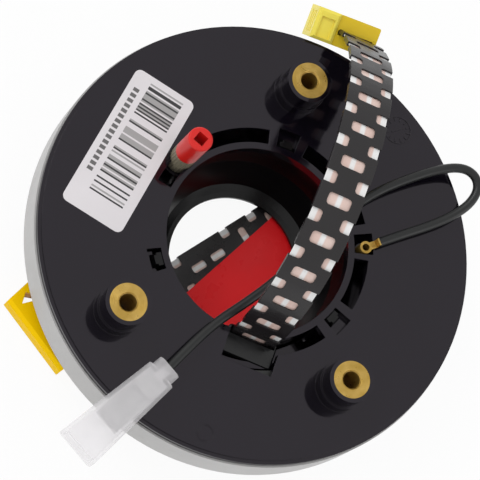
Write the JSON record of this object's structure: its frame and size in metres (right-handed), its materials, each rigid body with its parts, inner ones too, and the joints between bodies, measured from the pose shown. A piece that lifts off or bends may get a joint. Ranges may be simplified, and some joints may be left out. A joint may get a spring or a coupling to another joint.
{
  "type": "steering clock spring",
  "caption": "Steering clock spring: a black rotor disc with threaded bosses turns in a grey casing, with flat leads, a horn wire and a lock pin.",
  "frame": {"origin": "on the turning axis, at the end face of the back neck, on which the part rests", "axes": "+Z along the turning axis, out of the steering wheel side; +Y towards the single boss"},
  "size_m": [0.1088, 0.1315, 0.0598],
  "materials": {
    "rotor_black": "satin moulded black, lightly polished",
    "sleeve_black": "glossy moulded black",
    "casing_grey": "satin light grey",
    "block_black": "glossy moulded black",
    "brass": "turned",
    "red_plastic": "satin moulded red",
    "sand_plastic": "satin moulded sand",
    "film_clear": "milky film",
    "cable_white": "white flat cable with two copper strips showing through",
    "guard_black": "satin black cable guard",
    "lemon_plastic": "satin lemon yellow",
    "orange_plastic": "satin orange yellow",
    "tin": "tinned bronze",
    "wire_black": "black wire insulation",
    "clear_plastic": "clear soft plastic",
    "label_white": "white satin label",
    "tape_red": "red adhesive tape",
    "coil_clear": "flat cable"
  },
  "bodies": {
    "stator": {"stator_casing": "casing_grey", "lower_slip_film": "film_clear", "coil_tape": "coil_clear", "outlet_block": "block_black", "column_lead_cable": "cable_white", "column_lead_guard": "guard_black", "seal_tape": "tape_red", "column_plug_housing": "orange_plastic", "column_plug_contacts": "tin"},
    "rotor": {"rotor_disc": "rotor_black", "retaining_sleeve": "sleeve_black", "rotor_terminal_block": "block_black", "threaded_insert_1": "brass", "threaded_insert_2": "brass", "threaded_insert_3": "brass", "horn_eyelet": "brass", "upper_slip_film": "film_clear", "label": "label_white", "airbag_lead_cable": "cable_white", "airbag_lead_guard": "guard_black", "airbag_plug_housing": "lemon_plastic", "airbag_plug_cover": "lemon_plastic", "airbag_plug_contacts": "tin", "horn_wire": "wire_black", "horn_connector_cover": "clear_plastic", "horn_terminal": "tin"},
    "lock_pin": {"lock_pin_head": "red_plastic", "lock_pin_stem": "sand_plastic"}
  },
  "joints": [
    {"name": "rotor_turn", "type": "hinge", "parent": "stator", "child": "rotor", "pos_m": [0, 0, 0], "axis": [0, 0, 1], "range_deg": [-1080, 1080]},
    {"name": "lock_pin_slide", "type": "slide", "parent": "rotor", "child": "lock_pin", "axis": [0, 0, 1], "range_m": [-0.0052, 0.0015]}
  ]
}
